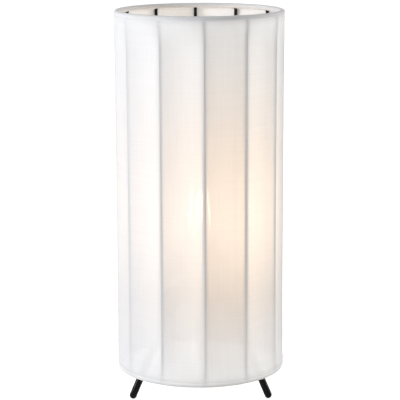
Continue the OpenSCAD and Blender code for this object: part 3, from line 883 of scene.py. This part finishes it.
def makeHem(name, height, sleeveSide, ridgeAngle, glowRange, values):
    angle = np.arange(values["columns"]) * 2 * pi / values["columns"]
    section = np.arange(values["sides"])[:, None] * 2 * pi / values["sides"]
    swell = sum(size * np.sin(count * angle + shift) for count, size, shift in values["waves"])
    swell = swell / sum(size for count, size, shift in values["waves"])
    folds, slant, size = values["bias"]
    bias = np.sin(folds * angle + slant * section) * size
    ridge = np.exp(-((section - radians(ridgeAngle)) / values["ridgeWidth"]) ** 2)
    thick = hemRadius - values["inset"] + values["swell"] * (swell + bias - 1) + values["ridge"] * (ridge - 1)
    radius = ringRadius + thick * np.cos(section)
    grid = aroundAxis(radius, angle, height + thick * np.sin(section))
    # painted light: the glow's share rises towards the sleeve's side of the roll
    share = easeBetween(sleeveSide * np.sin(section), *glowRange) + 0 * angle
    return clothPiece(name, grid, ribGap=gapToRib(angle - shadeTurn) + 0 * section, glowShare=share,
                      inside=(np.cos(section) < 0) + 0 * angle)


topHem = fit(makeHem("topHemRoll", highRingZ, -1, hemSet["topRidge"], hemSet["topGlow"], hemSet),
             "base", "top_hem")
bottomHem = fit(makeHem("bottomHemRoll", lowRingZ, 1, hemSet["bottomRidge"], hemSet["bottomGlow"], hemSet),
                "base", "bottom_hem")
print("hems made")


# Ribs: straight wires from ring to ring, each end spread into a small weld. The radius of a welded
# rod is radius * (1 + spread * e^-(distance from the end / reach)^2).

ribSet = {
    "weld": 0.004,              # length over which the rows are close together
    "weldRows": 6,
    "middleRows": 6,
    "spread": 0.21,
    "reach": 0.0012,
    "sides": 24,
}


def weldedRod(name, start, end, radius, values):
    length = np.linalg.norm(end - start)
    step = meshSet["poleStep"]
    weld = np.linspace(0, values["weld"], values["weldRows"])
    middle = np.linspace(values["weld"], length - values["weld"], values["middleRows"] + 2)[1:-1]
    places = np.concatenate([[-step], weld, middle, (length - weld)[::-1], [length + step]])
    toEnd = np.minimum(places, length - places)
    radii = radius * (1 + values["spread"] * np.exp(-(toEnd / values["reach"]) ** 2))
    radii[[0, -1]] = 0
    path = start + (end - start) / length * places[:, None]
    return pieceFromGrids(name, [(sweptGrid(path, radii, values["sides"]), False)])


def makeRib(index, azimuth, values):
    bottom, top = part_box(f"rib_{index + 1:02d}")
    start = aroundAxis(ringRadius, azimuth, bottom.z)
    end = aroundAxis(ringRadius, azimuth, top.z)
    return weldedRod(f"ribWire{index + 1:02d}", start, end, ribRadius, values)


ribs = [fit(makeRib(i, azimuth, ribSet), "base", f"rib_{i + 1:02d}") for i, azimuth in enumerate(ribAngles)]
print("ribs made")


# Legs: one rod each from its rounded foot, worn flat at the surface, up to the hub plate. The back
# leg leans straight along Y, so its box gives the slope of all three.

legSet = {
    "sides": 40,
    "tipReach": 0.0003,         # how far the foot's round end would reach below the surface
    "overrun": 1.2,             # radii by which the rod passes the plate before it is cut level
    "topRound": 0.0002,
}


def makeLeg(index, azimuth, values):
    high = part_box(f"leg_{index + 1}")[1]
    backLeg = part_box("leg_2")
    radius = (backLeg[1].x - backLeg[0].x) / 2
    near, far = sorted(abs(corner.y) for corner in backLeg)
    foot = aroundAxis(far - radius, azimuth, radius - values["tipReach"])
    top = aroundAxis(near + radius / cos(atan2(far - near, high.z)), azimuth, high.z)
    along = (foot - top) / np.linalg.norm(foot - top)
    grid = rodGrid(top - along * radius * values["overrun"], foot + along * radius, radius,
                   values["topRound"], radius, values["sides"])
    grid[..., 2] = np.clip(grid[..., 2], 0, high.z)
    return pieceFromGrids(f"legRod{index + 1}", [(grid, False)])


for i, azimuth in enumerate(legAngles):
    fit(makeLeg(i, azimuth, legSet), "base", f"leg_{i + 1}")
print("legs made")


# The hub plate and the lamp holder: profiles of (radius, height, rounding) turned about the axis

holderSet = {
    "edge": 0.0003,             # the usual rounding
    "fineEdge": 0.0002,
    "rimRound": 0.0006,
    "plateRound": 0.0008,
    "plateSides": 128,
    "hubBore": 0.0052,
    "capBore": 0.00502,
    "capInside": 0.018,
    "capLedge": 0.0155,         # radius inside the ledge that carries the insert
    "capFloor": 0.004,
    "capRound": 0.0014,
    "floorRound": 0.0004,
    "gripFlutes": 72,
    "gripColumns": 8,           # in each flute
    "gripRows": 12,
    "gripDepth": 0.00022,
    "gripEnds": (0.003, 0.002),     # plain wall below and above the flutes
    "gripFade": 0.003,
    "sleeveRadius": 0.0195,
    "sleeveInside": 0.0155,
    "skirtRadius": 0.01798,
    "lipRound": 0.001,
    "sleevePitch": 0.0025,
    "sleeveThread": 0.0006,
    "threadEnds": 0.001,        # plain wall at both ends of the thread
    "threadFade": 0.002,
    "threadStep": 0.0003,
    "clampReach": 0.007,        # how far the clamp ring stands out past the cap
    "clampGap": 0.00002,
    "clampRound": 0.0007,
    "clampEnds": 0.0012,
    "clampRows": 8,
    "clampFlutes": 24,
    "clampColumns": 16,
    "clampDent": 0.0014,
    "dentFade": (0.003, 0.0005),    # depths below the edge at which a dent begins and is full
    "fitterInside": 0.0197,
}


# The hub plate and the fitter ring: a flat band with rounded edges, bored
def makeBand(name, node, bore, values):
    low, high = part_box(node)
    rounding = values["plateRound"]
    corners = [(high.x, low.z, rounding), (high.x, high.z, rounding),
               (bore, high.z, rounding / 2), (bore, low.z, rounding / 2)]
    return turnedPiece(name, roundedProfile(corners), values["plateSides"])


# The cap's outer wall has fine upright flutes for the fingers, fading out towards its edges
def makeHolderCap(values):
    low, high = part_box("holder_cap")
    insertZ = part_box("holder_insert")[0].z
    floorZ = low.z + values["capFloor"]
    under, over = values["gripEnds"]
    gripLow, gripHigh, fade = low.z + under, high.z - over, values["gripFade"]
    inside, ledge, bore = values["capInside"], values["capLedge"], values["capBore"]
    edge, fine = values["edge"], values["fineEdge"]
    wall = [(high.x, z, 0) for z in np.linspace(gripLow, gripHigh, values["gripRows"])]
    profile = roundedProfile([(high.x, low.z, values["capRound"]), *wall,
                              (high.x, high.z, values["rimRound"]), (inside, high.z, edge),
                              (inside, insertZ, fine), (ledge, insertZ, fine),
                              (ledge, floorZ, values["floorRound"]), (bore, floorZ, fine),
                              (bore, low.z, edge)])
    depth = values["gripDepth"] * onWall(profile, high.x)
    depth = depth * riseAndFall(profile[:, 1], gripLow, gripLow + fade, gripHigh - fade, gripHigh)
    return turnedPiece("holderCapShell", profile, values["gripFlutes"] * values["gripColumns"],
                       scallops=values["gripFlutes"], scallopDepth=depth)


# The sleeve: skirt, shoulder, and a threaded wall that the clamp ring screws onto
def makeHolderSleeve(values):
    low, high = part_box("holder_sleeve")
    shoulderZ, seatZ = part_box("holder_cap")[1].z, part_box("fitter_ring")[0].z
    ends, fade = values["threadEnds"], values["threadFade"]
    threadLow, threadHigh = seatZ + ends, high.z - ends
    outer, inner, skirt = values["sleeveRadius"], values["sleeveInside"], values["skirtRadius"]
    edge, shoulder = values["edge"], values["plateRound"]
    wall = [(outer, z, 0) for z in np.arange(threadLow, threadHigh, values["threadStep"])]
    profile = roundedProfile([(skirt, low.z, edge), (skirt, shoulderZ, values["fineEdge"]),
                              (high.x, shoulderZ, shoulder), (high.x, seatZ, shoulder), (outer, seatZ, edge),
                              *wall, (outer, high.z, values["rimRound"]), (inner, high.z, values["lipRound"]),
                              (inner, low.z, edge)])
    depth = values["sleeveThread"] * onWall(profile, outer)
    depth = depth * riseAndFall(profile[:, 1], threadLow, threadLow + fade, threadHigh - fade, threadHigh)
    return turnedPiece("holderSleeveShell", profile, threadDepth=depth, pitch=values["sleevePitch"])


# The ring has broad finger dents round its edge
def makeClampRing(values):
    low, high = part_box("clamp_ring")
    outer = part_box("holder_cap")[1].x + values["clampReach"]
    inner = values["sleeveRadius"] + values["clampGap"]
    edge, rounding, ends = values["edge"], values["clampRound"], values["clampEnds"]
    wall = [(outer, z, 0) for z in np.linspace(low.z + ends, high.z - ends, values["clampRows"])]
    profile = roundedProfile([(outer, low.z, rounding), *wall, (outer, high.z, rounding),
                              (inner, high.z, edge), (inner, low.z, edge)])
    start, full = values["dentFade"]
    depth = values["clampDent"] * easeBetween(profile[:, 0], outer - start, outer - full)
    return turnedPiece("clampRingShell", profile, values["clampFlutes"] * values["clampColumns"],
                       scallops=values["clampFlutes"], scallopDepth=depth)


fit(makeBand("hubDisc", "hub_plate", holderSet["hubBore"], holderSet), "base", "hub_plate")
fit(makeHolderCap(holderSet), "base", "holder_cap")
fit(makeHolderSleeve(holderSet), "base", "holder_sleeve")
fit(makeClampRing(holderSet), "base", "clamp_ring")
fit(makeBand("fitterRingBand", "fitter_ring", holderSet["fitterInside"], holderSet), "base", "fitter_ring")
print("hub and holder made")


# Spider arms: straight welded rods from the fitter ring out and down to three ribs

armSet = {
    "radius": 0.0015,
    "drop": 0.024,
    "sink": 0.0006,
    "weld": 0.006,
    "weldRows": 14,
    "middleRows": 8,
    "spread": 0.45,
    "reach": 0.0022,
    "sides": 32,
}


def makeArm(index, azimuth, values):
    ringLow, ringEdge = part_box("fitter_ring")
    start = aroundAxis(ringEdge.x - values["sink"], azimuth, (ringEdge.z + ringLow.z) / 2)
    end = aroundAxis(ringRadius - values["sink"], azimuth, start[2] - values["drop"])
    return weldedRod(f"spiderArm{index + 1}", start, end, values["radius"], values)


# The bulb's cap and the holder's screw shell are rolled from thin sheet with one thread. Its
# crests are at the full radius and its roots a thread depth further in.

screwSet = {
    "pitch": 0.00363,
    "depth": 0.001,
    "low": 0.0052,              # heights above the bulb's contact
    "high": 0.0212,
    "runIn": 0.0016,            # heights over which the thread begins and ends
    "runOut": 0.0012,
    "sheet": 0.0004,
    "edge": 0.0001,
    "step": 0.0003,
    "sides": 128,
    "crease": 50,
    "capRadius": 0.0132,
    "capHole": 0.01142,
    "capEnds": (0.0006, 0.0003),    # from the low and the high end to the wall's first and last row
    "gap": 0.0001,              # between cap and shell
    "floorHole": 0.0084,
    "shellEnds": (0.0008, 0.0002),
    "bend": 0.7,                # share of the sheet at which the shell's foot bends up
    "rivetRadius": 0.0012,
    "rivetX": 0.011,
    "rivetHead": 1.5,           # in sheets
    "rivetRound": (0.0001, 0.0003),
    "rivetSides": 24,
}


# Radius and thread depth of the sheet at a height above the contact: under the thread the sheet
# stays at the root, over it at the crest
def threadedSheet(height, values):
    begun = easeBetween(height, values["low"], values["low"] + values["runIn"])
    ended = easeBetween(height, values["high"] - values["runOut"], values["high"])
    return -values["depth"] * (1 - begun), values["depth"] * begun * (1 - ended)


# Turns a sheet: the outer wall up to its rim, the same wall a sheet further in down to its floor
def rolledSheet(floor, wall, rim, floorInside, depth, values):
    profile = np.concatenate([floor, wall, rim, (wall - (values["sheet"], 0))[::-1], floorInside])
    flat = [np.zeros(len(points)) for points in (floor, rim, floorInside)]
    depths = np.concatenate([flat[0], depth, flat[1], depth[::-1], flat[2]])
    grid = turnedGrid(profile, values["sides"], depths, values["pitch"])
    grid[..., 2] += bulbFoot
    return grid


def makeScrewCap(values):
    low, high = (corner.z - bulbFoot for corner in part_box("bulb_cap"))
    start, end = values["capEnds"]
    height = np.arange(low + start, high - end, values["step"])
    shift, depth = threadedSheet(height, values)
    outer, hole, sheet, edge = values["capRadius"], values["capHole"], values["sheet"], values["edge"]
    wall = np.stack([outer + shift, height], -1)
    root = outer - values["depth"]
    floor = [(hole, low), (root - sheet, low), (root - edge, low + edge)]
    rim = [(outer - edge, high), (outer - sheet + edge, high)]
    grid = rolledSheet(floor, wall, rim, [(hole, low + sheet)], depth, values)
    return pieceFromGrids("bulbScrewCap", [(grid, True)], values["crease"])


def makeScrewShell(values):
    insertLow, insertHigh = (corner.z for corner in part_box("holder_insert"))
    low, high = insertHigh - bulbFoot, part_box("screw_shell")[1].z - bulbFoot
    start, end = values["shellEnds"]
    height = np.arange(low + start, high - end, values["step"])
    depth = threadedSheet(height, values)[1]
    inner = values["capRadius"] + values["gap"]
    hole, sheet, edge = values["floorHole"], values["sheet"], values["edge"]
    wall = np.stack([inner + sheet + 0 * height, height], -1)
    floor = [(hole, low), (inner, low), (inner + sheet * values["bend"], low + edge * 2)]
    rim = [(inner + sheet - edge, high), (inner + edge, high)]
    floorInside = [(inner - edge * 2, low + sheet), (hole, low + sheet)]
    grid = rolledSheet(floor, wall, rim, floorInside, depth, values)
    foot = np.array([values["rivetX"], 0, insertLow])
    head = foot + (0, 0, insertHigh - insertLow + sheet * values["rivetHead"])
    rivet = rodGrid(foot, head, values["rivetRadius"], *values["rivetRound"], values["rivetSides"])
    return pieceFromGrids("screwShellSheet", [(grid, True), (rivet, False)], values["crease"])


# The glass: neck, a flare that is a cubic curve, and the globe, with the same a wall further in

glassSet = {
    "wall": 0.0008,
    "neckRadius": 0.0124,
    "neckTop": 0.0285,          # above the bulb's contact
    "tangent": 35,              # degrees below the globe's middle at which the flare meets it
    "reach": 0.4,               # pull of the curve's ends, as a share of its height
    "flareRows": 28,
    "globeRows": 48,
    "sides": 128,
}


def glassLine(inset, values):
    low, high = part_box("bulb_glass")
    globeRadius = high.x - inset
    middle = high.z - high.x
    tangent = radians(values["tangent"])
    start = np.array([values["neckRadius"] - inset, bulbFoot + values["neckTop"]])
    join = np.array([globeRadius * cos(tangent), middle - globeRadius * sin(tangent)])
    reach = (join[1] - start[1]) * values["reach"]
    pulls = [start, start + (0, reach), join - reach * np.array([sin(tangent), cos(tangent)]), join]
    s = np.linspace(0, 1, values["flareRows"])[:, None]
    flare = (pulls[0] * (1 - s) ** 3 + 3 * pulls[1] * s * (1 - s) ** 2
             + 3 * pulls[2] * s ** 2 * (1 - s) + pulls[3] * s ** 3)
    turn = np.linspace(-tangent, pi / 2, values["globeRows"])[1:, None]
    globe = np.concatenate([globeRadius * np.cos(turn), middle + globeRadius * np.sin(turn)], 1)
    globe[-1, 0] = 0
    return np.concatenate([[(start[0], low.z)], flare, globe])


def makeGlass(values):
    profile = np.concatenate([glassLine(values["wall"], values)[::-1], glassLine(0, values)])
    return turnedPiece("bulbGlassShell", profile, values["sides"], looped=False)


# The stem: a flared foot that closes the neck, its radius falling as (1 - s)^power, a tube, a
# flattened pinch that holds the lead wires, and a thin pillar up to the star

stemSet = {
    "footRadius": 0.01155,
    "footWall": (0.0009, 0.0006),   # how far the inner face lies further in and lower
    "flare": 0.0075,
    "power": 2.2,
    "flareRows": 14,
    "tubeRadius": 0.0044,
    "boreRadius": 0.0032,
    "boreDrop": 0.001,          # height of the bore's closed end
    "boreTurn": (0.7, 0.0002),  # share of its radius and drop where that end turns down
    "pillarRadius": 0.0013,
    "pillarEnd": 0.4,           # height of its rounded end against its radius
    "shoulder": 0.0012,
    "arcRows": 7,
    "pinch": 0.0042,            # length of the pinch
    "pinchTop": 0.0446,         # above the bulb's contact
    "pinchRise": (0.001, 0.0012),   # under and over the bore's end, where the pinch begins
    "pinchFall": (0.0003, 0.001),   # under and over the pinch's top, where it ends
    "flat": 0.55,               # thickness of the pinch against its width
    "sides": 64,
}


def makeStem(values):
    low, high = (corner.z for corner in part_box("bulb_stem"))
    foot, tube, bore, pillar = (values[label + "Radius"] for label in ("foot", "tube", "bore", "pillar"))
    pinchZ = bulbFoot + values["pinchTop"]
    boreTop = pinchZ - values["pinch"]
    s = np.linspace(0, 1, values["flareRows"])[:, None]
    left = (1 - s) ** values["power"]
    wallIn, wallDown = values["footWall"]
    flareOut = np.concatenate([tube + (foot - tube) * left, low + wallDown + values["flare"] * s], 1)
    flareIn = np.concatenate([bore + (foot - wallIn - bore) * left, low + values["flare"] * s], 1)
    turnShare, turnDrop = values["boreTurn"]
    boreEnd = [(0, boreTop), (bore * turnShare, boreTop - turnDrop), (bore, boreTop - values["boreDrop"])]
    turn = np.linspace(0, pi / 2, values["arcRows"])[:, None]
    left, drop = np.cos(turn), 1 - np.sin(turn)
    shoulder = np.concatenate([pillar + (tube - pillar) * left, pinchZ - values["shoulder"] * drop], 1)
    knob = np.concatenate([pillar * left, high - pillar * values["pillarEnd"] * drop], 1)
    knob[-1, 0] = 0
    profile = np.concatenate([boreEnd, flareIn[::-1], flareOut, shoulder, knob])
    grid = turnedGrid(profile, values["sides"])
    limits = [boreTop - values["pinchRise"][0], boreTop + values["pinchRise"][1],
              pinchZ - values["pinchFall"][0], pinchZ + values["pinchFall"][1]]
    grid[..., 1] *= 1 - (1 - values["flat"]) * riseAndFall(grid[..., 2], *limits)
    return pieceFromGrids("bulbStemGlass", [(grid, False)], meshSet["softCrease"])


# Filaments: thin sticks that lean in towards the star

stickSet = {
    "count": 4,
    "phase": -16,
    "lowRadius": 0.0112,
    "topRadius": 0.008,
    "inset": 0.0001,
    "radius": 0.0009,
    "tip": 0.0005,
    "sides": 24,
    "middleRows": 30,
}


def makeStick(index, values):
    low, high = (corner.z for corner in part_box(f"filament_{index + 1}"))
    azimuth = radians(values["phase"]) + index * 2 * pi / values["count"]
    foot = aroundAxis(values["lowRadius"], azimuth, low + values["inset"])
    head = aroundAxis(values["topRadius"], azimuth, high - values["inset"])
    grid = rodGrid(foot, head, values["radius"], values["tip"], values["tip"], values["sides"],
                   values["middleRows"])
    return pieceFromGrids(f"filamentStick{index + 1}", [(grid, False)])


for i, azimuth in enumerate(armAngles):
    fit(makeArm(i, azimuth, armSet), "base", f"spider_arm_{i + 1}")
fit(makeScrewShell(screwSet), "base", "screw_shell")
fit(makeScrewCap(screwSet), "bulb", "bulb_cap")
fit(makeGlass(glassSet), "bulb", "bulb_glass")
fit(makeStem(stemSet), "bulb", "bulb_stem")
for i in range(stickSet["count"]):
    fit(makeStick(i, stickSet), "bulb", f"filament_{i + 1}")
print("arms and bulb made")


# The cord inlet: a threaded nipple and the rounded bush that the cord passes through

inletSet = {
    "edge": 0.0003,
    "endRound": 0.0004,
    "bore": 0.0036,
    "pitch": 0.001,
    "thread": 0.0003,
    "threadEnds": (0.0006, 0.0005),
    "threadStep": 0.000125,
    "sides": 64,
    "bushBore": 0.0029,
    "bushBody": 0.00355,
    "bushRound": 0.0006,
    "stepRound": 0.0001,
}


def makeNipple(values):
    low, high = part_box("threaded_nipple")
    start, end = values["threadEnds"]
    bore, edge, rounding = values["bore"], values["edge"], values["endRound"]
    wall = [(high.x, z, 0) for z in np.arange(low.z + start, high.z - end, values["threadStep"])]
    profile = roundedProfile([(high.x, low.z, rounding), *wall, (high.x, high.z, rounding),
                              (bore, high.z, edge), (bore, low.z, edge)])
    depth = values["thread"] * onWall(profile, high.x)
    return turnedPiece("nippleTube", profile, values["sides"], threadDepth=depth, pitch=values["pitch"])


def makeBush(values):
    low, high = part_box("cord_bush")
    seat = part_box("threaded_nipple")[0].z
    body, bore, edge, rounding = values["bushBody"], values["bushBore"], values["edge"], values["bushRound"]
    corners = [(high.x, low.z, rounding), (high.x, seat, edge), (body, seat, values["stepRound"]),
               (body, high.z, values["endRound"]), (bore, high.z, edge), (bore, low.z, rounding)]
    return turnedPiece("cordBushRing", roundedProfile(corners))


fit(makeNipple(inletSet), "base", "threaded_nipple")
fit(makeBush(inletSet), "base", "cord_bush")
print("cord inlet made")


# Lights, floor and room. The room is white to the camera, and a plain grey level to the object.

roomSet = {
    "ambient": 0.40,
    "floorReach": 8.0,
    "floorTone": 0.90,
    "floorLift": 0.75,          # the floor's own light, for the rays that see the room
    "bulbPower": 0.12,
    "bulbColour": (1.0, 0.88, 0.7),
    "bulbSize": 0.012,
}

lightSet = {
    "keyLeft": {"azimuth": -70, "distance": 1.6, "height": 0.7, "size": 0.30, "power": 17.6,
                "aim": 0.2, "colour": (0.93, 0.95, 1.0)},
    "fillRight": {"azimuth": 104, "distance": 1.6, "height": 0.6, "size": 0.6, "power": 10.0,
                  "aim": 0.2, "colour": (1.0, 0.995, 0.985)},
    "skyAbove": {"azimuth": 0, "distance": 0, "height": 1.5, "size": 1.0, "power": 0.4,
                 "aim": 0, "colour": (1.0, 1.0, 1.0)},
}


def makeRoom(values):
    world = bpy.data.worlds.new("plainRoom")
    scene.world = world
    world.use_nodes = True
    tree = world.node_tree
    level = ramp(tree, seenRays(tree), 0, 1, values["ambient"], 1.0, smooth=False)
    setInputs(tree, tree.nodes["Background"], Color=(1, 1, 1, 1), Strength=level)


# Rays that see the room: the camera's, and those that metal and glass send on
def seenRays(tree):
    path = tree.nodes.new("ShaderNodeLightPath")
    seen = calc(tree, "MAXIMUM", path.outputs["Is Camera Ray"], path.outputs["Is Glossy Ray"])
    return calc(tree, "MAXIMUM", seen, path.outputs["Is Transmission Ray"])


def makeFloor(values):
    reach = values["floorReach"]
    mesh = bpy.data.meshes.new("paleFloor")
    corners = [(-reach, -reach, 0), (reach, -reach, 0), (reach, reach, 0), (-reach, reach, 0)]
    mesh.from_pydata(corners, [], [(0, 1, 2, 3)])
    floor = newObject("paleFloor", mesh)
    tone = values["floorTone"]
    material, tree, shader = newMaterial("paleFloor", Base_Color=(tone, tone, tone, 1), Roughness=0.9,
                                         Emission_Color=(1, 1, 1, 1))
    setInputs(tree, shader, Emission_Strength=times(tree, seenRays(tree), values["floorLift"]))
    mesh.materials.append(material)


def hangLight(name, values):
    data = bpy.data.lights.new(name, "AREA")
    data.shape = "DISK"
    data.size = values["size"]
    data.energy = values["power"]
    data.color = values["colour"]
    light = newObject(name, data)
    light.location = aroundAxis(values["distance"], radians(values["azimuth"]), values["height"])
    lean = atan2(values["distance"], values["height"] - values["aim"])
    light.rotation_euler = (lean, 0, radians(values["azimuth"]))
    light.visible_camera = False


# The bulb lights what stands inside the shade; what is seen of it are its filaments
def lightBulb(values):
    data = bpy.data.lights.new("bulbLight", "POINT")
    data.energy = values["bulbPower"]
    data.color = values["bulbColour"]
    data.shadow_soft_size = values["bulbSize"]
    light = newObject("bulbLight", data)
    light.location = (0, 0, sum(corner.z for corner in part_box("filament_1")) / 2)
    light.visible_camera = False
    light.visible_transmission = False
    light.visible_glossy = False


makeRoom(roomSet)
makeFloor(roomSet)
for name, values in lightSet.items():
    hangLight(name, values)
lightBulb(roomSet)
scene.view_settings.view_transform = "Standard"
print("room lit")
